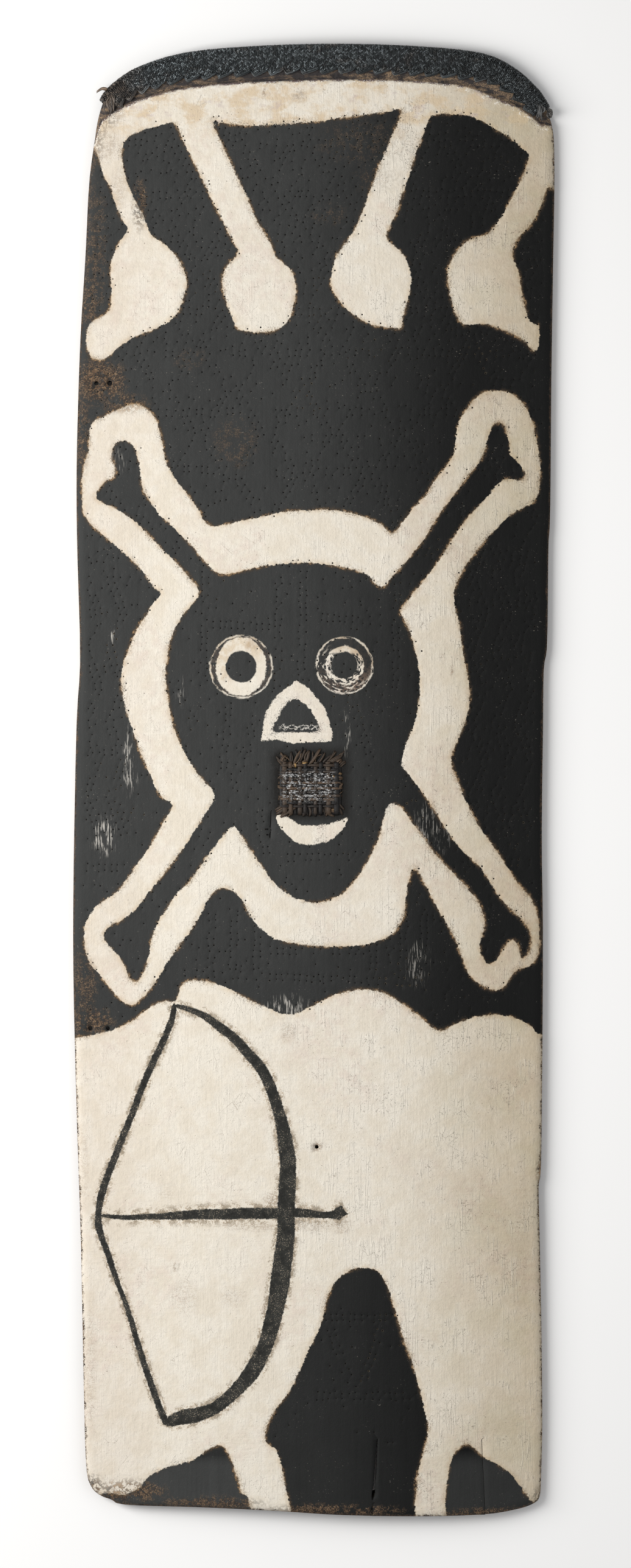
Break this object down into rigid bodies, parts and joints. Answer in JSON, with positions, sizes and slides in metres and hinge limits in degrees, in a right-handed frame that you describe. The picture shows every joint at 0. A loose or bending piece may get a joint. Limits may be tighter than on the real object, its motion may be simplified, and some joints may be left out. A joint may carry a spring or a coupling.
{
  "type": "painted wooden plank shield",
  "caption": "Tall crowned plank shield lying face up, arched top edge bound with plaited fibre, woven lashing through its middle, painted skull and crossed bones.",
  "frame": {"origin": "under the middle of the shield's overall box, on the surface that it lies on", "axes": "+Z out of the painted face, +Y along the plank to its bound top edge, +X to the right of the painted face"},
  "size_m": [0.5225, 1.5971, 0.0329],
  "materials": {
    "painted_wood": "adzed plank, hand painted in matt charcoal black and cream clay paint, worn to brown wood at the edges",
    "dark_fibre": "blue-black plaited plant fibre with a slight sheen",
    "brown_cane": "dark brown split cane, woven, rubbed with cream paint"
  },
  "bodies": {
    "root": {"plank": "painted_wood", "rim_binding": "dark_fibre", "grip_lashing": "brown_cane"}
  },
  "joints": []
}
